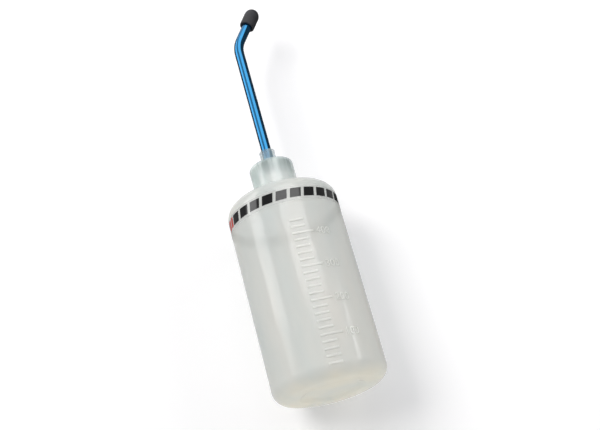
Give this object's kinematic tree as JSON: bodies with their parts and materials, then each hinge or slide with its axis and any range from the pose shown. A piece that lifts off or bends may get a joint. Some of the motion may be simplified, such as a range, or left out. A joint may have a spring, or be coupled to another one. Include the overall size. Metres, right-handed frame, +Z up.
{
  "type": "fuel bottle",
  "caption": "Squeezable translucent bottle with a raised volume scale, a screw cap, a bent metal spout and a rubber tip cap.",
  "frame": {"origin": "middle of the base, on the surface that the bottle stands on", "axes": "+Z up along the bottle's axis to the spout, -Y to the viewer, with the volume scale just right of the middle, +X to the right"},
  "size_m": [0.0764, 0.0764, 0.2976],
  "materials": {
    "natural_plastic": "milky translucent, soft gloss",
    "clear_film": "clear printed film",
    "seal_foam": "matte white foam",
    "cap_plastic": "milky translucent, faintly green",
    "blue_anodised": "polished blue anodising",
    "black_rubber": "satin black rubber"
  },
  "bodies": {
    "vessel": {"bottle": "natural_plastic", "print_band": "clear_film"},
    "seal": {"seal_washer": "seal_foam"},
    "closure": {"cap": "cap_plastic", "spout_tube": "blue_anodised"},
    "tip": {"tip_cap": "black_rubber"}
  },
  "joints": [
    {"name": "cap_rise", "type": "slide", "parent": "vessel", "child": "seal", "axis": [0, 0, 1], "range_m": [0, 0.00636]},
    {"name": "cap_turn", "type": "hinge", "parent": "seal", "child": "closure", "pos_m": [0, 0, 0.16344], "axis": [0, 0, 1], "range_deg": [0, 540]},
    {"name": "tip_pull", "type": "slide", "parent": "closure", "child": "tip", "axis": [0.5118, 0.1863, 0.8387], "range_m": [0, 0.02]}
  ],
  "couplings": [
    {"joint": "cap_rise", "follows": "cap_turn", "m_per_rad": 0.00067376}
  ]
}
